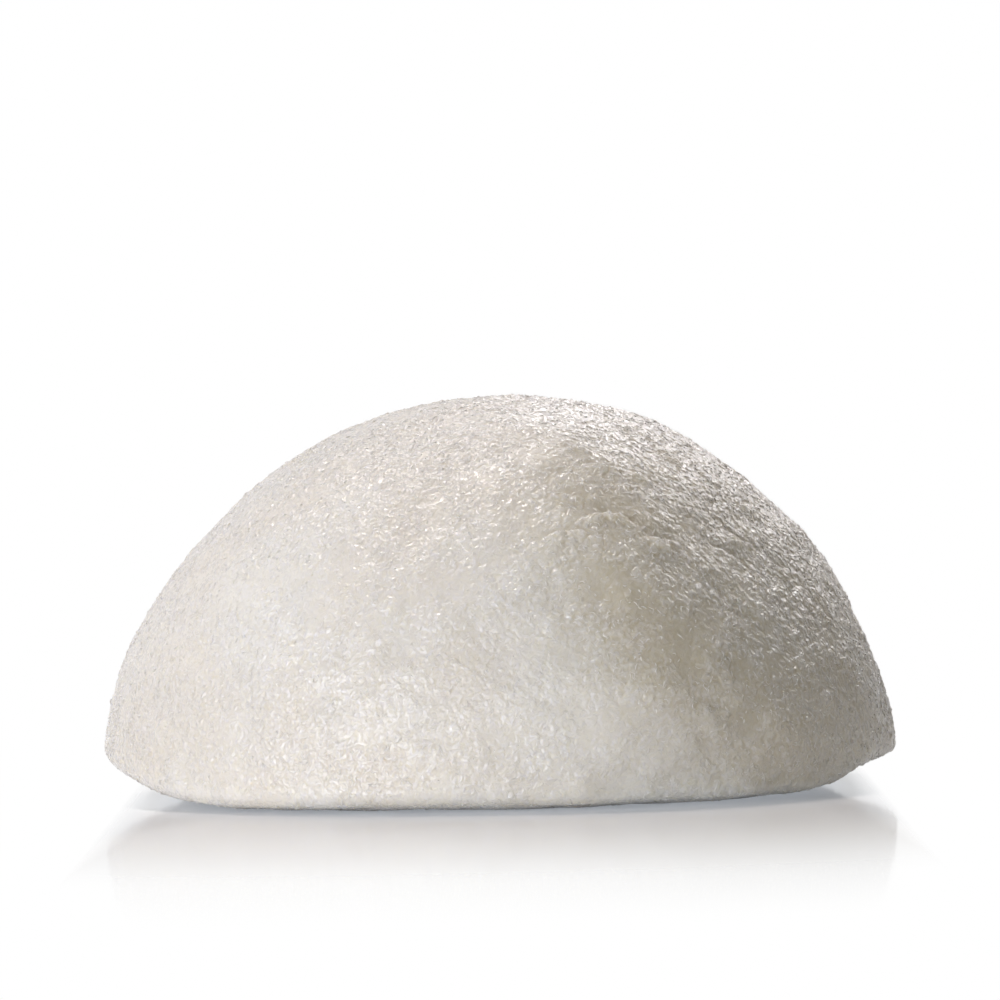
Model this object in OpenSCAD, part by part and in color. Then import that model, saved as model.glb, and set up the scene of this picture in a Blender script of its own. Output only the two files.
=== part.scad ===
// Half-ball konjac sponge for washing the face: one block of springy plant-fibre foam,
// moulded in the round, with its lip curled up at the left and right ends and the middle
// of its underside pressed flat by its own weight.
//
// Lengths are in millimetres. +Z is up, +X is to the right and +Y is to the back, and the
// origin is the middle of the flat that the sponge rests on.

/* [Ball] */
// Width from left to right of the round mould that shapes the sponge
ball_width = 80.8; // [60:0.1:110]
// Depth of that mould from front to back
ball_depth = 80; // [60:0.1:110]
// Height of the crown above the surface that the sponge rests on
crown_height = 40; // [30:0.1:52]

/* [Underside] */
// Height of the lip at the left end above the resting surface
left_lift = 4.3; // [1.5:0.1:8]
// Height of the lip at the right end above the resting surface
right_lift = 3.6; // [1.5:0.1:8]
// Height of the lip at the front and the back above the resting surface
front_lift = 0.9; // [0.2:0.1:3]
// How far the foam would bow down under the middle, were it not pressed flat there
seat_bow = 0.5; // [0.2:0.1:1.5]

/* [Lip] */
// Size of the soft round on the lip at the left end
left_lip_round = 1.8; // [0.4:0.1:4]
// Size of the tighter round on the lip at the right end
right_lip_round = 0.7; // [0.2:0.1:4]

/* [Swells] */
// Height of the largest swell or hollow on the dome, measured from the true round
swell_height = 0.9; // [0:0.1:2]

/* [Fineness] */
// Columns of points round the sponge
columns = 72; // [36:4:84]
// Rings of points from the lip up to the crown
dome_rings = 24; // [12:1:30]
// Rings of points round the lip
lip_rings = 4; // [2:1:6]
// Rings of points from the lip in to the middle of the underside
under_rings = 7; // [4:1:10]

/* [Hidden] */

half_width = ball_width / 2;
half_depth = ball_depth / 2;

// The curl keeps to the two ends. Coming round to each end, the lip starts to lift at the
// first of these turns and is fully up at the second, both in degrees from that end.
left_curl_start = 48;
left_curl_end = 4;
right_curl_start = 40;
right_curl_end = 20;
// The underside stays low over its middle, and rises towards the lip with this power.
dish_sharpness = 5;
// Height above the lip, in degrees up the dome, over which the swells fade in.
swell_fade = 14;

// Each swell: turn round the dome and rise up it, both in degrees, how far it spreads in
// degrees, and its height as a share of swell_height, below zero for a hollow. Turn 0 is
// the right end, 90 the back, 180 the left end and 270 the front.
swell_shares = [
    [180, 46, 17, -0.75],
    [215, 38, 20,  0.45],
    [250, 62, 20, -0.35],
    [289, 12, 16,  1.00],
    [288, 34, 15,  0.95],
    [285, 56, 14,  0.60],
    [324, 36, 16, -1.00],
    [356, 68,  8,  0.60],
    [  1, 20,  8, -0.75],
    [ 35, 45, 20,  0.45],
    [ 75, 28, 18, -0.50],
    [110, 55, 20,  0.50],
    [145, 27, 18,  0.40]
];

function between(low, high, share) = low + (high - low) * share;
function rightness(turn) = (1 + cos(turn)) / 2;
function grown(share, power) = share == 0 ? 0 : pow(share, power);
function eased(share) = let (s = max(0, min(1, share))) s * s * (3 - 2 * s);
function direction(turn, rise) = [cos(rise) * cos(turn), cos(rise) * sin(turn), sin(rise)];
function total(list, i = 0) = i == len(list) ? 0 : list[i] + total(list, i + 1);

// Share of the lift that the lip has: 0 at the front and the back, 1 at the two ends.
function curl(turn) =
    let (start = between(left_curl_start, right_curl_start, rightness(turn)),
         end = between(left_curl_end, right_curl_end, rightness(turn)),
         off_end = acos(abs(cos(turn))))
    eased((start - off_end) / (start - end));

// Height of the lip above the resting surface, and the size of its round.
function lip_height(turn) =
    between(front_lift, between(left_lift, right_lift, rightness(turn)), curl(turn));
function lip_round(turn) = between(left_lip_round, right_lip_round, rightness(turn));

// Rise on the ball, in degrees, of a point at a height over the resting surface.
function rise_at(height) = asin(height / crown_height);

// Swell or hollow of the dome in a direction, faded out towards the lip.
function swell(toward, above_lip) =
    swell_height * min(1, above_lip / swell_fade) * total([
        for (s = swell_shares)
            s[3] * exp(-pow(acos(min(1, toward * direction(s[0], s[1]))) / s[2], 2))]);

// A point on the dome: on the ball, moved out or in along its own direction.
function dome_point(turn, rise, above_lip) =
    let (toward = direction(turn, rise), out = swell(toward, above_lip))
    [toward.x * (half_width + out), toward.y * (half_depth + out),
     toward.z * (crown_height + out)];

// A point on the underside: share is 0 at the middle and 1 at the sharp edge of the lip.
function under_point(turn, share) =
    let (edge = direction(turn, rise_at(lip_height(turn))))
    [edge.x * half_width * share, edge.y * half_depth * share,
     between(-seat_bow, lip_height(turn), grown(share, dish_sharpness))];

// A point on the round of the lip, along a curve from the underside to the dome that
// bends round the sharp edge.
function lip_point(turn, share) =
    let (low = under_point(turn, 1 - lip_round(turn) / half_width),
         edge = under_point(turn, 1),
         high = dome_point(turn, rise_at(lip_height(turn) + lip_round(turn)), 0))
    between(between(low, edge, share), between(edge, high, share), share);

// One column of points, from next to the middle of the underside up to the crown.
function column(turn) =
    let (inner_share = 1 - lip_round(turn) / half_width,
         lip_top = rise_at(lip_height(turn) + lip_round(turn)))
    concat(
        [for (i = [1:under_rings]) under_point(turn, inner_share * i / under_rings)],
        [for (i = [1:lip_rings - 1]) lip_point(turn, i / lip_rings)],
        [for (i = [0:dome_rings - 1])
            let (above = (90 - lip_top) * i / dome_rings)
            dome_point(turn, lip_top + above, above)]);

rings = under_rings + lip_rings - 1 + dome_rings;
skin_points = [for (c = [0:columns - 1]) each column(360 * c / columns)];
crown_point = dome_point(0, 90, 90 - rise_at(left_lift));

// The points are centred over the origin, because the two ends of the lip differ.
xs = [for (p = skin_points) p.x];
ys = [for (p = skin_points) p.y];
middle = [(min(xs) + max(xs)) / 2, (min(ys) + max(ys)) / 2, 0];

bottom_index = columns * rings;
crown_index = bottom_index + 1;
function at(c, ring) = (c % columns) * rings + ring;

// Corners go clockwise as seen from outside.
skin_faces = [
    for (c = [0:columns - 1]) each concat(
        [[bottom_index, at(c, 0), at(c + 1, 0)]],
        [for (r = [0:rings - 2]) each [
            [at(c, r), at(c, r + 1), at(c + 1, r + 1)],
            [at(c, r), at(c + 1, r + 1), at(c + 1, r)]]],
        [[crown_index, at(c + 1, rings - 1), at(c, rings - 1)]])
];

// The whole sponge: the moulded half ball, with the middle of its underside pressed flat.
module sponge_body() {
    color("#e3ded6")
    difference() {
        translate(-middle)
            polyhedron(concat(skin_points, [[0, 0, -seat_bow], crown_point]), skin_faces);
        // The resting surface takes away what would bow below it.
        translate([-ball_width, -ball_depth, -crown_height])
            cube([2 * ball_width, 2 * ball_depth, crown_height]);
    }
}

sponge_body();
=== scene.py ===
import math

import bmesh
import bpy
import numpy as np
from mathutils import Matrix, Vector


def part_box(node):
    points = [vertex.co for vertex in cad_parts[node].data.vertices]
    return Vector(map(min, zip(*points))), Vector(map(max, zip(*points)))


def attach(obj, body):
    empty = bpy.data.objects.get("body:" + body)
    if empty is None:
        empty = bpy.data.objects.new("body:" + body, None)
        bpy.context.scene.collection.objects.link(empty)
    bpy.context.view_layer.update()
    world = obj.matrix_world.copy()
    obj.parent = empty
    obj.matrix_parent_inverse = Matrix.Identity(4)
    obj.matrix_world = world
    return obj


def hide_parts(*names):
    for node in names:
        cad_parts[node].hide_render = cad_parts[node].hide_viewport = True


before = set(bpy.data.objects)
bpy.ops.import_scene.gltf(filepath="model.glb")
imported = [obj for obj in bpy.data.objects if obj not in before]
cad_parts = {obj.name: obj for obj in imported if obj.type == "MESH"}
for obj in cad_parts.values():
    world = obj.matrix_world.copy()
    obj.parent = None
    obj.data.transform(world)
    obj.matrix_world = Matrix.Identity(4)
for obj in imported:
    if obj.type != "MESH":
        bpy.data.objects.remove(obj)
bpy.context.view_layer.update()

mm = 0.001
white = (1, 1, 1, 1)
low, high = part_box("sponge_body")
boxHalfWidth = (high.x - low.x) / 2 / mm
boxHalfDepth = (high.y - low.y) / 2 / mm
crownHeight = high.z / mm


def toLinear(hexColour):
    # sRGB hex to the linear colour that the shaders want
    parts = [int(hexColour[i:i + 2], 16) / 255 for i in (1, 3, 5)]
    return tuple(p / 12.92 if p <= 0.04045 else ((p + 0.055) / 1.055) ** 2.4 for p in parts)


def addNode(tree, kind, settings=None, values=None, links=None):
    # one node with its settings, its fixed socket values and what feeds it
    node = tree.nodes.new("ShaderNode" + kind)
    for name, value in (settings or {}).items():
        setattr(node, name, value)
    for name, value in (values or {}).items():
        node.inputs[name].default_value = value
    for name, source in (links or {}).items():
        tree.links.new(source, node.inputs[name])
    return node


# the moulded half ball, in millimetres; its shape is that of the solid, with finer points
ball = {
    "subdivisions": 9,
    "lipInsetWidth": 0.35,      # how far the lip lies inside the mould's full width
    "lipInsetDepth": 0.075,
    "leftLift": 4.3,
    "rightLift": 3.6,
    "frontLift": 0.9,
    # angles round from the left end and the right end where the lip starts to lift and is up
    "curlStart": (48.0, 40.0),
    "curlEnd": (4.0, 20.0),
    "seatBow": 0.5,             # how far the foam would bow down, were it not pressed flat
    "dishSharpness": 5.0,
    "leftLipRound": 1.8,
    "rightLipRound": 0.7,
    "undersideArc": 40.0,       # lengths along the profile, which spread the points evenly
    "lipArc": 2.0,
    "domeArc": 61.0,
    "swellHeight": 0.9,
    "swellFade": 14.0,
    # turn, rise and spread in degrees, and share of swellHeight
    "swells": [
        (180, 46, 17, -0.75), (215, 38, 20, 0.45), (250, 62, 20, -0.35),
        (289, 12, 16, 1.00), (288, 34, 15, 0.95), (285, 56, 14, 0.60),
        (324, 36, 16, -1.00), (356, 68, 8, 0.60), (1, 20, 8, -0.75),
        (35, 45, 20, 0.45), (75, 28, 18, -0.50), (110, 55, 20, 0.50), (145, 27, 18, 0.40),
    ],
}

halfWidth = boxHalfWidth + ball["lipInsetWidth"]
halfDepth = boxHalfDepth + ball["lipInsetDepth"]


def between(start, end, share):
    return start + (end - start) * share


def smoothStep(start, end, value):
    t = np.clip((value - start) / (end - start), 0, 1)
    return t * t * (3 - 2 * t)


def directionOf(turn, rise):
    return np.stack([np.cos(rise) * np.cos(turn), np.cos(rise) * np.sin(turn), np.sin(rise)], -1)


def lipHeight(turn):
    rightness = (1 + np.cos(turn)) / 2
    offEnd = np.degrees(np.arccos(np.abs(np.cos(turn))))
    lifted = smoothStep(between(*ball["curlStart"], rightness),
                        between(*ball["curlEnd"], rightness), offEnd)
    ends = between(ball["leftLift"], ball["rightLift"], rightness)
    return between(ball["frontLift"], ends, lifted)


def lipRound(turn):
    return between(ball["leftLipRound"], ball["rightLipRound"], (1 + np.cos(turn)) / 2)


def onBall(turn, rise):
    return directionOf(turn, rise) * [halfWidth, halfDepth, crownHeight]


def swellAt(toward, aboveLip):
    total = np.zeros(len(toward))
    for turn, rise, spread, share in ball["swells"]:
        aim = directionOf(math.radians(turn), math.radians(rise))
        away = np.degrees(np.arccos(np.clip(toward @ aim, -1, 1)))
        total += share * np.exp(-(away / spread) ** 2)
    return ball["swellHeight"] * np.clip(aboveLip / ball["swellFade"], 0, 1) * total


def domePoint(turn, rise, aboveLip):
    toward = directionOf(turn, rise)
    out = swellAt(toward, aboveLip)[:, None]
    return toward * ([halfWidth, halfDepth, crownHeight] + out)


def underPoint(turn, share):
    edge = onBall(turn, np.arcsin(lipHeight(turn) / crownHeight))
    sink = between(-ball["seatBow"], lipHeight(turn), share ** ball["dishSharpness"])
    return np.stack([edge[:, 0] * share, edge[:, 1] * share, np.maximum(sink, 0)], -1)


def lipPoint(turn, share):
    lowEnd = underPoint(turn, 1 - lipRound(turn) / halfWidth)
    edge = underPoint(turn, np.ones(len(turn)))
    top = np.arcsin((lipHeight(turn) + lipRound(turn)) / crownHeight)
    highEnd = domePoint(turn, top, np.zeros(len(turn)))
    s = share[:, None]
    return between(between(lowEnd, edge, s), between(edge, highEnd, s), s)


def spongePoints(unit):
    # a point of the unit sphere goes to the underside, the lip or the dome by its height
    turn = np.arctan2(unit[:, 1], unit[:, 0])
    whole = ball["undersideArc"] + ball["lipArc"] + ball["domeArc"]
    along = (np.arcsin(np.clip(unit[:, 2], -1, 1)) / math.pi + 0.5) * whole
    lipEnd = ball["undersideArc"] + ball["lipArc"]
    lipTop = np.arcsin((lipHeight(turn) + lipRound(turn)) / crownHeight)
    domeShare = np.clip((along - lipEnd) / ball["domeArc"], 0, 1)
    rise = between(lipTop, math.pi / 2, domeShare)
    dome = domePoint(turn, rise, np.degrees(rise - lipTop))
    innerShare = 1 - lipRound(turn) / halfWidth
    under = underPoint(turn, np.clip(along / ball["undersideArc"], 0, 1) * innerShare)
    lip = lipPoint(turn, np.clip((along - ball["undersideArc"]) / ball["lipArc"], 0, 1))
    place = np.where((along < ball["undersideArc"])[:, None], under, lip)
    return np.where((along > lipEnd)[:, None], dome, place), along - lipEnd


# the noise and the grains repeat after this many cells, and start keeps a cell's number above 0
lattice = {"noiseSide": 48, "grainSide": 32, "start": 1000}


def latticeNoise(points, size, seed):
    # smooth noise from -1 to 1 whose lumps are about size millimetres apart
    side = lattice["noiseSide"]
    table = np.random.default_rng(seed).random((side, side, side)) * 2 - 1
    grid = points / size + lattice["start"]
    cell = np.floor(grid).astype(np.int64)
    part = grid - cell
    part = part * part * (3 - 2 * part)
    total = np.zeros(len(points))
    for dx, dy, dz in np.ndindex(2, 2, 2):
        weight = (np.where(dx, part[:, 0], 1 - part[:, 0])
                  * np.where(dy, part[:, 1], 1 - part[:, 1])
                  * np.where(dz, part[:, 2], 1 - part[:, 2]))
        total += weight * table[(cell[:, 0] + dx) % side, (cell[:, 1] + dy) % side,
                                (cell[:, 2] + dz) % side]
    return total


# the foam's surface: lumps, dimples, felted grains and wrinkles, sizes and heights in millimetres
relief = {
    "lumpSize": 7.0, "lumpHeight": 0.18,
    "dimpleSize": 2.6, "dimpleHeight": 0.16,
    "warpSize": 2.2, "dimpleWarp": 0.35, "patchWarp": 0.5,      # bends the edges of the patterns
    "grainSizes": (0.90, 0.55), "grainHeights": (0.105, 0.065), "grainStretch": 1.4,
    "grainReach": (0.42, 0.62),     # half width of a grain, as a share of its size
    "grainMiddle": 0.4,             # the part of a grain that lies level with the skin
    # flatter patches: size, share of the grains they keep, their edge in the noise, and dent
    "smoothSize": (3.0, 3.0, 1.9), "smoothKeeps": (0.55, 0.85), "patchFrom": (-0.55, -0.05),
    "patchDent": 0.5,
    # the hollows under the ledges are bare, and the ledges are felted
    "bareFrom": (-0.14, -0.04), "crestFrom": (0.03, 0.08),
    # quiet on the left and low down, and liveliest on the right of the crown
    "liveShares": (0.90, 1.05), "liveFrom": (0.1, 0.9), "liveAim": (0.5, 0.0, 0.87),
    "rimFrom": (0.75, 0.97),
    # painted shade: more of the darker olive hollow colour where it faces forward on the right, the
    # side in shade
    "shadedSideFrom": (0.72, 1.0), "shadedSideAim": (0.56, -0.60, 0.57),
    # a few long shallow wrinkles on the left: where they lie, how they wander and break off
    "wrinkleHeight": 0.08, "wrinkleSpacing": 4.2, "wrinkleWidth": 0.13,
    "wrinkleTurn": 0.5, "wrinkleSide": (0.0, 0.7), "wrinkleRise": (0.1, 0.4),
    "wanderSize": 9.0, "wander": 1.6, "breakSize": 6.5, "breakFrom": (0.0, 0.4),
    "underKeep": 0.55,              # share of the relief that the cut underside keeps
    "underEdge": (-3.0, 0.0),       # where that begins, along the profile from the lip
    "floorGap": 0.02,
    "seeds": {"lump": 1, "dimple": 2, "patch": 5, "wander": 8, "break": 9, "warp": (11, 12, 13),
              "grain": 40},
}

# small torn ledges, each over a shallow hollow, in millimetres
ledge = {
    # those that the front shows: turn, rise, length, tilt, height, hollow
    "front": [
        (284, 49, 1.6, 5, 0.25, 1.5), (287, 48, 1.2, 20, 0.35, 2.0), (290, 44, 2.3, -18, 0.45, 3.5),
        (294, 44, 2.6, 30, 0.55, 5.0), (297, 42, 2.0, 20, 0.25, 2.5), (301, 39, 2.0, 33, 0.50, 3.5),
        (306, 52, 2.2, 55, 0.45, 3.5), (286, 53, 1.6, 10, 0.25, 1.5), (297, 54, 3.0, 20, 0.45, 3.0),
        (293, 59, 2.8, 10, 0.40, 2.5), (313, 43, 2.2, 40, 0.40, 2.5), (323, 40, 3.2, 40, 0.35, 2.0),
        (318, 37, 2.8, 42, 0.30, 2.0), (285, 41, 1.0, 5, 0.30, 1.5), (281, 41, 1.7, -20, 0.30, 1.5),
        (331, 52, 2.6, 65, 0.35, 2.0), (335, 45, 2.8, 57, 0.35, 2.0), (323, 57, 2.2, 38, 0.30, 2.0),
        (330, 34, 3.0, 64, 0.30, 2.0), (335, 27, 3.4, 49, 0.25, 2.0),
    ],
    # others like them round the back, with a range for each measure in the same order
    "backCount": 26, "backSeed": 31,
    "backRanges": [(15, 170), (15, 62), (1.2, 3.2), (-40, 40), (0.25, 0.5), (1.5, 4.0)],
    "edge": 0.3,                # how far the steep side of a ledge runs
    "foot": 1.2,                # and its gentle side
    "margin": 1.0,              # how far past a ledge and its hollow the points are looked at
    # how far a ledge and its hollow run out past the length, and the share of that which is full
    "crestTip": 0.4, "crestFull": 0.5, "crestShare": 0.7,
    "hollowTip": 1.2, "hollowFull": 0.4, "hollowShare": 0.7, "hollowCurve": 1.5,
    "wobbles": ((1.4, 0.35, 6), (0.6, 0.15, 14)),       # size, height and seed of its wavy edge
}


def meshNormals(mesh):
    normals = np.empty(len(mesh.vertices) * 3)
    mesh.vertex_normals.foreach_get("vector", normals)
    return normals.reshape(-1, 3)


def grains(points, size, seed):
    # rounded grains, one to each cell of a lattice and long along its own axis, from 0 to 1
    side = lattice["grainSide"]
    rng = np.random.default_rng(seed)
    place = rng.random((side ** 3, 3))
    axis = rng.normal(size=(side ** 3, 3))
    axis *= math.sqrt(1 - relief["grainStretch"] ** -2) / np.linalg.norm(axis, axis=1)[:, None]
    reach = rng.uniform(*relief["grainReach"], side ** 3) ** 2
    grid = points / size + lattice["start"]
    cell = np.floor(grid).astype(np.int64)
    best = np.zeros(len(points))
    for step in np.ndindex(3, 3, 3):
        near = cell + step - 1
        pick = ((near[:, 0] % side) * side + near[:, 1] % side) * side + near[:, 2] % side
        off = grid - near - place[pick]
        away = (off ** 2).sum(1) - (off * axis[pick]).sum(1) ** 2
        best = np.maximum(best, 1 - away / reach[pick])
    return best


def allLedges():
    # the ledges that the front shows, and others like them round the back
    rng = np.random.default_rng(ledge["backSeed"])
    back = [tuple(rng.uniform(*span) for span in ledge["backRanges"])
            for _ in range(ledge["backCount"])]
    return ledge["front"] + back


def ledgeHeights(points):
    wobble = sum(tall * latticeNoise(points, size, seed) for size, tall, seed in ledge["wobbles"])
    total = np.zeros(len(points))
    for turn, rise, length, tilt, height, hollow in allLedges():
        turn, rise, tilt = math.radians(turn), math.radians(rise), math.radians(tilt)
        centre = onBall(turn, rise)
        away = np.linalg.norm(points - centre, axis=1)
        near = np.flatnonzero(away < length + hollow + ledge["margin"])
        east = np.array([-math.sin(turn), math.cos(turn), 0])
        downhill = -np.array([-math.sin(rise) * math.cos(turn), -math.sin(rise) * math.sin(turn),
                              math.cos(rise)])
        off = points[near] - centre
        along = np.abs(off @ (math.cos(tilt) * east + math.sin(tilt) * downhill))
        below = off @ (math.cos(tilt) * downhill - math.sin(tilt) * east) + wobble[near]
        reach = length / 2 + ledge["crestTip"]
        crest = (smoothStep(-ledge["edge"], 0, below)
                 * smoothStep(ledge["foot"], 0, below)
                 * smoothStep(reach, ledge["crestFull"] * reach, along))
        sink = (np.clip((below + hollow) / hollow, 0, 1) ** ledge["hollowCurve"]
                * smoothStep(0, -ledge["edge"], below)
                * smoothStep(reach + ledge["hollowTip"], ledge["hollowFull"] * reach, along))
        total[near] += height * (ledge["crestShare"] * crest - ledge["hollowShare"] * sink)
    return total


def wrinkleDepths(points, normals):
    turn = np.arctan2(points[:, 1], points[:, 0])
    rise = np.arcsin(np.clip(normals[:, 2], -1, 1))
    crownArc = (math.pi / 2 - rise) * crownHeight
    left = (smoothStep(*relief["wrinkleSide"], -np.cos(turn - relief["wrinkleTurn"]))
            * smoothStep(*relief["wrinkleRise"], rise))
    wandering = latticeNoise(points, relief["wanderSize"], relief["seeds"]["wander"])
    band = crownArc / relief["wrinkleSpacing"] + relief["wander"] * wandering
    crease = np.exp(-((band - np.floor(band) - 0.5) / relief["wrinkleWidth"]) ** 2)
    broken = latticeNoise(points, relief["breakSize"], relief["seeds"]["break"])
    return relief["wrinkleHeight"] * crease * left * smoothStep(*relief["breakFrom"], broken)


def roughen(points, normals, aboveLip):
    # the height of the relief at each point, and what the material wants to know of it
    seeds = relief["seeds"]
    warp = np.stack([latticeNoise(points, relief["warpSize"], seed) for seed in seeds["warp"]], -1)
    lump = latticeNoise(points, relief["lumpSize"], seeds["lump"])
    dimple = latticeNoise(points + warp * relief["dimpleWarp"], relief["dimpleSize"],
                          seeds["dimple"])
    patch = latticeNoise((points + warp * relief["patchWarp"]) / relief["smoothSize"], 1.0,
                         seeds["patch"])
    ledges = ledgeHeights(points)
    felted = smoothStep(*relief["patchFrom"], patch) * smoothStep(*relief["bareFrom"], ledges)
    felted = np.maximum(felted, smoothStep(*relief["crestFrom"], ledges))
    live = normals @ np.array(relief["liveAim"])
    keep = between(*relief["smoothKeeps"], smoothStep(*relief["rimFrom"], live))
    felted = between(keep, 1.0, felted)
    felted *= between(*relief["liveShares"], smoothStep(*relief["liveFrom"], live))
    height = relief["lumpHeight"] * lump + relief["dimpleHeight"] * dimple
    raised = np.zeros(len(points))
    for i, (size, tall) in enumerate(zip(relief["grainSizes"], relief["grainHeights"])):
        grain = grains(points, size, seeds["grain"] + i)
        height += tall * felted * (grain - relief["grainMiddle"])
        raised = np.maximum(raised, felted * grain)
    height += relief["dimpleHeight"] * patch * relief["patchDent"] + ledges
    height -= wrinkleDepths(points, normals)
    height *= between(1.0, relief["underKeep"], 1 - smoothStep(*relief["underEdge"], aboveLip))
    # painted shade: marks the side that faces forward on the right, away from the key lamp, for a
    # larger share of the hollow colour
    shadedSide = smoothStep(*relief["shadedSideFrom"], normals @ np.array(relief["shadedSideAim"]))
    return height, {"felted": felted, "raised": raised, "shadedSide": shadedSide}


def makeSkin():
    mesh = bpy.data.meshes.new("sponge_skin")
    bm = bmesh.new()
    bmesh.ops.create_icosphere(bm, subdivisions=ball["subdivisions"], radius=1.0)
    bm.to_mesh(mesh)
    bm.free()
    unit = np.empty(len(mesh.vertices) * 3)
    mesh.vertices.foreach_get("co", unit)
    points, aboveLip = spongePoints(unit.reshape(-1, 3))
    mesh.vertices.foreach_set("co", (points * mm).ravel())
    mesh.update()
    normals = meshNormals(mesh)
    height, marks = roughen(points, normals, aboveLip)
    points = points + normals * height[:, None]
    for name, values in marks.items():
        mesh.attributes.new(name, "FLOAT", "POINT").data.foreach_set("value", values)
    points[:, 2] = np.maximum(points[:, 2], relief["floorGap"])
    mesh.vertices.foreach_set("co", (points * mm).ravel())
    mesh.shade_smooth()
    mesh.update()
    skin = bpy.data.objects.new("sponge_skin", mesh)
    bpy.context.collection.objects.link(skin)
    return skin


skin = makeSkin()
print("skin", len(skin.data.polygons), "faces")

# short curled strands of konjac fibre, felted into the skin; lengths in millimetres
felt = {
    "strands": 15000, "seed": 101,
    "length": (0.3, 0.9),
    "shortness": 1.6,           # above 1, more of them are short
    "radius": (0.045, 0.08),
    "sides": 3,
    "taper": (0.3, 1.0, 0.3),
    "arch": 0.08, "archShares": (0.3, 1.6),
    "curl": 0.4, "curlMiddle": 0.4,
    "bury": 0.03,
    "floorGap": 0.09,
    # underneath, up to this height, they lie this thickly
    "underHeight": 1.0, "underShare": 0.35,
}


def skinSamples(mesh, count, rng):
    # places spread evenly over the skin, with the direction out of it
    mesh.calc_loop_triangles()
    corners = np.empty(len(mesh.loop_triangles) * 3, np.int32)
    mesh.loop_triangles.foreach_get("vertices", corners)
    corners = corners.reshape(-1, 3)
    places = np.empty(len(mesh.vertices) * 3)
    mesh.vertices.foreach_get("co", places)
    places = places.reshape(-1, 3)
    normals = meshNormals(mesh)
    a, b, c = (places[corners[:, i]] for i in range(3))
    area = np.linalg.norm(np.cross(b - a, c - a), axis=1)
    felted = np.empty(len(mesh.vertices))
    mesh.attributes["felted"].data.foreach_get("value", felted)
    first = corners[:, 0]
    area *= np.where(places[first, 2] < felt["underHeight"] * mm, felt["underShare"], felted[first])
    picked = rng.choice(len(corners), count, p=area / area.sum())
    u, v = rng.random(count), rng.random(count)
    flip = u + v > 1
    u[flip], v[flip] = 1 - u[flip], 1 - v[flip]
    place = (a[picked] * (1 - u - v)[:, None] + b[picked] * u[:, None] + c[picked] * v[:, None])
    out = normals[corners[picked]].mean(1)
    return place, out / np.linalg.norm(out, axis=1)[:, None]


def makeProfile():
    curve = bpy.data.curves.new("strand_profile", "CURVE")
    spline = curve.splines.new("POLY")
    spline.points.add(felt["sides"] - 1)
    for i, point in enumerate(spline.points):
        turn = i * math.tau / felt["sides"]
        point.co = (math.cos(turn), math.sin(turn), 0, 1)
    spline.use_cyclic_u = True
    profile = bpy.data.objects.new("strand_profile", curve)
    bpy.context.collection.objects.link(profile)
    return profile


def makeFibres():
    rng = np.random.default_rng(felt["seed"])
    count = felt["strands"]
    place, out = skinSamples(skin.data, count, rng)
    along = np.cross(out, rng.normal(size=(count, 3)))
    along /= np.linalg.norm(along, axis=1)[:, None]
    across = np.cross(out, along)
    length = between(*felt["length"], rng.random(count) ** felt["shortness"])
    bend = rng.uniform(-1, 1, count) * felt["curl"]
    twist = rng.uniform(-1, 1, count) * felt["curl"]
    arch = felt["arch"] * rng.uniform(*felt["archShares"], count)
    radius = rng.uniform(*felt["radius"], count)
    u = np.linspace(-1, 1, len(felt["taper"]))
    reach = (length[:, None] * u / 2)[..., None] * along[:, None]
    sway = (bend[:, None] * (u ** 2 - felt["curlMiddle"]) + twist[:, None] * (u ** 3 - u))
    sway *= length[:, None]
    lift = arch[:, None] * (1 - u ** 2) - felt["bury"]
    path = (place[:, None] + mm * (reach + sway[..., None] * across[:, None]
                                   + lift[..., None] * out[:, None]))
    path[..., 2] = np.maximum(path[..., 2], felt["floorGap"] * mm)

    profile = makeProfile()
    curve = bpy.data.curves.new("fibre_paths", "CURVE")
    curve.dimensions = "3D"
    curve.bevel_mode = "OBJECT"
    curve.bevel_object = profile
    taper = np.array(felt["taper"])
    four = np.ones((len(taper), 4))
    for i in range(count):
        spline = curve.splines.new("POLY")
        spline.points.add(len(taper) - 1)
        four[:, :3] = path[i]
        spline.points.foreach_set("co", four.ravel())
        spline.points.foreach_set("radius", taper * radius[i] * mm)
    paths = bpy.data.objects.new("fibre_paths", curve)
    bpy.context.collection.objects.link(paths)
    drawn = paths.evaluated_get(bpy.context.evaluated_depsgraph_get())
    mesh = bpy.data.meshes.new_from_object(drawn)
    mesh.name = "loose_fibres"
    mesh.materials.clear()
    mesh.shade_smooth()
    for spare in (paths, profile):
        bpy.data.objects.remove(spare)
    fibres = bpy.data.objects.new("loose_fibres", mesh)
    bpy.context.collection.objects.link(fibres)
    return fibres


fibres = makeFibres()
print("loose fibres", len(fibres.data.polygons), "faces")


def dressing(name):
    material = bpy.data.materials.new(name)
    material.use_nodes = True
    material.node_tree.nodes.clear()
    return material, material.node_tree
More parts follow.
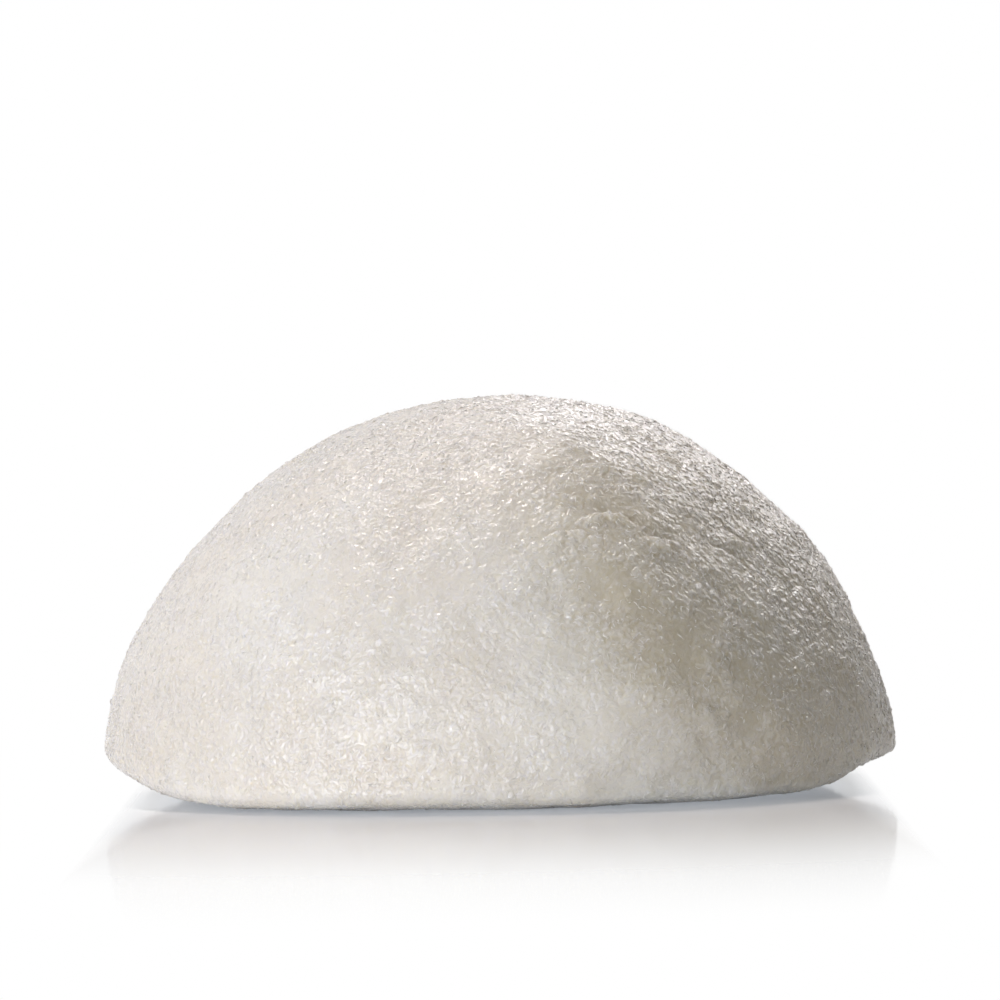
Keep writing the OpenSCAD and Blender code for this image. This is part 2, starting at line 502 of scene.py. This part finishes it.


# dried konjac foam: plant gel frozen into a felt of fine walls, pale, a little see-through,
# with a glint on each short raised wall and duller hollows between them; the hollows are also
# painted a darker olive as shade, the more so on the side in shade on the right
foam = {
    # pale and warm vary at random; hollow is a darker olive painted into the hollows as shade, by
    # the first share, up to the second on the side in shade
    "pale": "#ebe7e2", "warm": "#e8e1d9", "hollow": "#c2b596", "hollowShadeShares": (0.22, 0.80),
    "mottleSize": 14 * mm, "mottleFrom": (0.35, 0.65),
    # each set of strokes: length and width, depth, the turns it is laid along, and its start
    "fineStroke": (0.62 * mm, 0.43 * mm), "fineDepth": 0.11 * mm,
    "fineTurns": ((0, -35, 45), (0, 35, 45), (0, -35, -45), (0, 35, -45)), "fineStart": 1,
    "broadStroke": (1.10 * mm, 0.72 * mm), "broadDepth": 0.085 * mm,
    "broadTurns": ((0, -35, 45), (0, 35, -45)), "broadStart": 31,
    "strokeFrom": (0.52, 0.90),
    # the gloss of walls and hollows, and where a stroke or a grain begins to count as a wall
    "wallRoughness": 0.23, "hollowRoughness": 0.60, "wallFrom": (0.06, 0.24),
    "grainFrom": (0.50, 1.0),
    # painted shade: a wall as high as this takes only this share of the hollow's darker olive
    # colour, so wall and grain tops stay paler
    "wallFull": 0.6, "wallKeep": 0.5,
    "sheen": 0.3, "sheenRoughness": 0.5,
    "ior": 1.45, "scatter": 1.0, "scatterReach": 3.6 * mm, "scatterColour": (1.0, 0.97, 0.78),
}


def strokePattern(tree, place, felted, shape, turns, start):
    # short strokes laid along several axes, from 0 between them to 1 on a stroke
    best = None
    for i, turn in enumerate(turns):
        spot = addNode(tree, "Mapping", {"vector_type": "TEXTURE"}, {
            "Location": ((start + i) * mm, 0, 0), "Rotation": [math.radians(t) for t in turn],
            "Scale": (shape[0], shape[1], shape[1])}, {"Vector": place})
        noise = addNode(tree, "TexNoise", {}, {"Scale": 1.0, "Detail": 0.0},
                        {"Vector": spot.outputs[0]})
        best = noise if best is None else addNode(
            tree, "Math", {"operation": "MAXIMUM"}, {}, {0: best.outputs[0], 1: noise.outputs[0]})
    drawn = addNode(tree, "MapRange", {}, {"From Min": foam["strokeFrom"][0],
                                           "From Max": foam["strokeFrom"][1]},
                    {"Value": best.outputs[0]})
    return addNode(tree, "Math", {"operation": "MULTIPLY"}, {}, {0: drawn.outputs[0], 1: felted})


def makeFoamMaterial():
    material, tree = dressing("felted_konjac_foam")
    place = addNode(tree, "TexCoord").outputs["Object"]
    mottle = addNode(tree, "TexNoise", {}, {"Scale": 1 / foam["mottleSize"], "Detail": 1.0},
                     {"Vector": place})
    felted = addNode(tree, "Attribute", {"attribute_name": "felted"}).outputs["Fac"]
    fine = strokePattern(tree, place, felted, foam["fineStroke"], foam["fineTurns"],
                         foam["fineStart"])
    broad = strokePattern(tree, place, felted, foam["broadStroke"], foam["broadTurns"],
                          foam["broadStart"])
    broadBump = addNode(tree, "Bump", {}, {"Distance": foam["broadDepth"]},
                        {"Height": broad.outputs[0]})
    bump = addNode(tree, "Bump", {}, {"Distance": foam["fineDepth"]},
                   {"Height": fine.outputs[0], "Normal": broadBump.outputs[0]})
    tint = addNode(tree, "MapRange", {}, {"From Min": foam["mottleFrom"][0],
                                          "From Max": foam["mottleFrom"][1]},
                   {"Value": mottle.outputs[0]})
    body = addNode(tree, "Mix", {"data_type": "RGBA"},
                   {"A": (*toLinear(foam["warm"]), 1), "B": (*toLinear(foam["pale"]), 1)},
                   {"Factor": tint.outputs[0]})
    raised = addNode(tree, "Attribute", {"attribute_name": "raised"})
    grain = addNode(tree, "MapRange", {}, {"From Min": foam["grainFrom"][0],
                                           "From Max": foam["grainFrom"][1]},
                    {"Value": raised.outputs["Fac"]})
    wall = addNode(tree, "Math", {"operation": "MAXIMUM"}, {},
                   {0: fine.outputs[0], 1: grain.outputs[0]})
    # painted shade: the side in shade on the right takes a larger share of the hollow colour
    shadedSide = addNode(tree, "Attribute", {"attribute_name": "shadedSide"})
    share = addNode(tree, "MapRange", {}, {"To Min": foam["hollowShadeShares"][0],
                                           "To Max": foam["hollowShadeShares"][1]},
                    {"Value": shadedSide.outputs["Fac"]})
    onWall = addNode(tree, "Math", {"operation": "MULTIPLY"}, {1: foam["wallKeep"]},
                     {0: share.outputs[0]})
    # painted shade: the share of the darker olive hollow colour, smaller on walls and grain tops
    depth = addNode(tree, "MapRange", {}, {"From Max": foam["wallFull"]},
                    {"Value": wall.outputs[0], "To Min": share.outputs[0],
                     "To Max": onWall.outputs[0]})
    colour = addNode(tree, "Mix", {"data_type": "RGBA"}, {"B": (*toLinear(foam["hollow"]), 1)},
                     {"Factor": depth.outputs[0], "A": body.outputs["Result"]})
    gloss = addNode(tree, "MapRange", {}, {
        "From Min": foam["wallFrom"][0], "From Max": foam["wallFrom"][1],
        "To Min": foam["hollowRoughness"], "To Max": foam["wallRoughness"]},
        {"Value": wall.outputs[0]})
    shader = addNode(tree, "BsdfPrincipled", {}, {
        "IOR": foam["ior"], "Sheen Weight": foam["sheen"],
        "Sheen Roughness": foam["sheenRoughness"],
        "Subsurface Weight": foam["scatter"], "Subsurface Scale": foam["scatterReach"],
        "Subsurface Radius": foam["scatterColour"]},
        {"Base Color": colour.outputs["Result"], "Roughness": gloss.outputs[0],
         "Normal": bump.outputs[0]})
    addNode(tree, "OutputMaterial", {}, {}, {"Surface": shader.outputs[0]})
    return material


# single strands of the same gel, dried glassy, so they are smoother and glint more
strand = {
    "pale": "#f1eeea", "warm": "#e6dfd6", "mottleSize": 3 * mm, "roughness": 0.34, "ior": 1.45,
    "scatter": 0.3, "scatterReach": 0.4 * mm, "scatterColour": (1.0, 0.97, 0.9),
}


def makeStrandMaterial():
    material, tree = dressing("konjac_strand")
    place = addNode(tree, "TexCoord").outputs["Object"]
    mottle = addNode(tree, "TexNoise", {}, {"Scale": 1 / strand["mottleSize"]}, {"Vector": place})
    tint = addNode(tree, "Mix", {"data_type": "RGBA"},
                   {"A": (*toLinear(strand["warm"]), 1), "B": (*toLinear(strand["pale"]), 1)},
                   {"Factor": mottle.outputs[0]})
    shader = addNode(tree, "BsdfPrincipled", {}, {
        "Roughness": strand["roughness"], "IOR": strand["ior"],
        "Subsurface Weight": strand["scatter"], "Subsurface Scale": strand["scatterReach"],
        "Subsurface Radius": strand["scatterColour"]},
        {"Base Color": tint.outputs["Result"]})
    addNode(tree, "OutputMaterial", {}, {}, {"Surface": shader.outputs[0]})
    return material


skin.data.materials.append(makeFoamMaterial())
fibres.data.materials.append(makeStrandMaterial())

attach(skin, "root")
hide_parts("sponge_body")
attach(fibres, "root")
print("sponge dressed")

# glossy white acrylic that the sponge stands on, with distances from the middle of the sponge
floorLook = {
    "halfSize": 3.0, "colour": "#fafafa", "roughness": 0.06,
    # the mirror image fades out with distance
    "mirrorNear": 60 * mm, "mirrorFar": 195 * mm, "mirrorMost": 0.33,
    # close round the sponge the floor is shaded, a bluish grey
    "shadeNear": 38 * mm, "shadeFar": 90 * mm, "shadeColour": "#dfe5ee",
    # further off it turns to the white of the backdrop, over an oval
    "whiteNear": 45 * mm, "whiteFar": 145 * mm, "whiteLeast": 0.1, "oval": (1.2, 1, 1),
    # close along the lip the glow is stronger again, painted light so that the contact shadow
    # doesn't draw a black line
    "contactNear": 40 * mm, "contactFar": 58 * mm, "contactWhite": 0.5,
    # and out past the two ends it is all white
    "besideNear": 33 * mm, "besideFar": 38 * mm,
}


def seenDirectly(tree, rays):
    # 1 for what is seen by the camera, in a reflection or through something clear
    direct = addNode(tree, "Math", {"operation": "MAXIMUM"}, {},
                     {0: rays.outputs["Is Camera Ray"], 1: rays.outputs["Is Glossy Ray"]})
    return addNode(tree, "Math", {"operation": "MAXIMUM"}, {},
                   {0: direct.outputs[0], 1: rays.outputs["Is Transmission Ray"]})


def makeFloor():
    mesh = bpy.data.meshes.new("floor")
    bm = bmesh.new()
    bmesh.ops.create_grid(bm, x_segments=1, y_segments=1, size=floorLook["halfSize"])
    bm.to_mesh(mesh)
    bm.free()
    floor = bpy.data.objects.new("floor", mesh)
    bpy.context.collection.objects.link(floor)
    material, tree = dressing("white_acrylic")
    place = addNode(tree, "TexCoord").outputs["Object"]
    drawn = addNode(tree, "Mapping", {}, {"Scale": floorLook["oval"]}, {"Vector": place})
    away = addNode(tree, "VectorMath", {"operation": "LENGTH"}, {}, {0: drawn.outputs[0]})
    fade = addNode(tree, "MapRange", {"interpolation_type": "SMOOTHSTEP"}, {
        "From Min": floorLook["mirrorNear"], "From Max": floorLook["mirrorFar"],
        "To Min": floorLook["mirrorMost"], "To Max": 0.0}, {"Value": away.outputs["Value"]})
    matt = addNode(tree, "BsdfDiffuse", {}, {"Color": (*toLinear(floorLook["colour"]), 1)})
    clear = addNode(tree, "MapRange", {"interpolation_type": "SMOOTHSTEP"}, {
        "From Min": floorLook["shadeNear"], "From Max": floorLook["shadeFar"]},
        {"Value": away.outputs["Value"]})
    contact = addNode(tree, "MapRange", {}, {
        "From Min": floorLook["contactNear"], "From Max": floorLook["contactFar"],
        "To Min": floorLook["contactWhite"], "To Max": floorLook["whiteLeast"]},
        {"Value": away.outputs["Value"]})
    whiter = addNode(tree, "MapRange", {"interpolation_type": "SMOOTHSTEP"}, {
        "From Min": floorLook["whiteNear"], "From Max": floorLook["whiteFar"], "To Max": 1.0},
        {"Value": away.outputs["Value"], "To Min": contact.outputs[0]})
    spot = addNode(tree, "SeparateXYZ", {}, {}, {"Vector": place})
    aside = addNode(tree, "Math", {"operation": "ABSOLUTE"}, {}, {0: spot.outputs["X"]})
    beside = addNode(tree, "MapRange", {}, {"From Min": floorLook["besideNear"],
                                            "From Max": floorLook["besideFar"]},
                     {"Value": aside.outputs[0]})
    bright = addNode(tree, "Math", {"operation": "MAXIMUM"}, {},
                     {0: whiter.outputs[0], 1: beside.outputs[0]})
    lit = addNode(tree, "Math", {"operation": "MAXIMUM"}, {},
                  {0: clear.outputs[0], 1: beside.outputs[0]})
    shade = addNode(tree, "Mix", {"data_type": "RGBA"},
                    {"A": (*toLinear(floorLook["shadeColour"]), 1), "B": white},
                    {"Factor": lit.outputs[0]})
    glow = addNode(tree, "Emission", {}, {"Strength": 1.0}, {"Color": shade.outputs["Result"]})
    rays = addNode(tree, "LightPath")
    glowing = addNode(tree, "Math", {"operation": "MULTIPLY"}, {},
                      {0: bright.outputs[0], 1: seenDirectly(tree, rays).outputs[0]})
    pale = addNode(tree, "MixShader", {}, {},
                   {"Fac": glowing.outputs[0], 1: matt.outputs[0], 2: glow.outputs[0]})
    mirror = addNode(tree, "BsdfGlossy", {}, {"Roughness": floorLook["roughness"],
                                              "Color": white})
    mirrored = addNode(tree, "Math", {"operation": "MULTIPLY"}, {},
                       {0: fade.outputs[0], 1: rays.outputs["Is Camera Ray"]})
    top = addNode(tree, "MixShader", {}, {},
                  {"Fac": mirrored.outputs[0], 1: pale.outputs[0], 2: mirror.outputs[0]})
    addNode(tree, "OutputMaterial", {}, {}, {"Surface": top.outputs[0]})
    mesh.materials.append(material)


makeFloor()
print("floor laid")

# the studio: white behind for the camera and for reflections, a dim room for the rest
studio = {
    "room": 0.02, "roomColour": "#fffce0", "aim": (0, 0, 15 * mm),
    # name: turn round from the camera, rise, distance, width and height in metres, watts,
    # colour, and whether it lights the foam, shows in its glints, or both
    "lamps": {
        "key_left": (-37, 7, 0.45, 0.26, 0.26, 2.14, "#f3f7ff", "both"),
        "rim_glints": (155, 34, 0.6, 0.44, 0.26, 2.1, "#fffafb", "glints"),
        "high_back": (205, 66, 0.9, 0.20, 0.20, 4.1, "#fff4ee", "both"),
        "card_front": (32, 0, 0.14, 0.04, 0.02, 0.009, "#fafff4", "light"),
    },
}


def makeStudio():
    world = bpy.data.worlds.new("studio")
    bpy.context.scene.world = world
    world.use_nodes = True
    tree = world.node_tree
    tree.nodes.clear()
    shown = seenDirectly(tree, addNode(tree, "LightPath")).outputs[0]
    level = addNode(tree, "MapRange", {}, {"To Min": studio["room"], "To Max": 1.0},
                    {"Value": shown})
    tint = addNode(tree, "Mix", {"data_type": "RGBA"},
                   {"A": (*toLinear(studio["roomColour"]), 1), "B": white},
                   {"Factor": shown})
    back = addNode(tree, "Background", {}, {},
                   {"Color": tint.outputs["Result"], "Strength": level.outputs[0]})
    addNode(tree, "OutputWorld", {}, {}, {"Surface": back.outputs[0]})
    aim = Vector(studio["aim"])
    for name, setting in studio["lamps"].items():
        turn, rise, distance, width, height, watts, colour, use = setting
        light = bpy.data.lights.new(name, "AREA")
        light.shape = "RECTANGLE"
        light.size = width
        light.size_y = height
        light.energy = watts
        light.color = toLinear(colour)
        lamp = bpy.data.objects.new(name, light)
        # the camera is on the -Y side, at a turn of -90 as directionOf counts
        place = directionOf(math.radians(turn - 90), math.radians(rise))
        lamp.location = aim + distance * Vector(place)
        lamp.rotation_euler = (aim - lamp.location).to_track_quat("-Z", "Y").to_euler()
        lamp.visible_diffuse = use != "glints"
        lamp.visible_glossy = use != "light"
        bpy.context.collection.objects.link(lamp)


makeStudio()
print("lamps set")

# a long lens from low in front; the photograph leans by a little over a degree
shot = {
    "lens": 300.0, "sensor": 36.0, "frameWidth": 101.27 * mm,
    "aim": (0.57 * mm, 0.0, 29.46 * mm), "height": 46.8 * mm, "lean": -1.31,
}


def makeCamera():
    data = bpy.data.cameras.new("camera")
    data.lens = shot["lens"]
    data.sensor_width = shot["sensor"]
    camera = bpy.data.objects.new("camera", data)
    away = shot["frameWidth"] * shot["lens"] / shot["sensor"]
    place = Vector((shot["aim"][0], -away, shot["height"]))
    turned = (Vector(shot["aim"]) - place).to_track_quat("-Z", "Y").to_matrix().to_4x4()
    lean = Matrix.Rotation(math.radians(shot["lean"]), 4, "Z")
    camera.matrix_world = Matrix.Translation(place) @ turned @ lean
    bpy.context.collection.objects.link(camera)
    bpy.context.scene.camera = camera


makeCamera()
bpy.context.scene.view_settings.view_transform = "Standard"
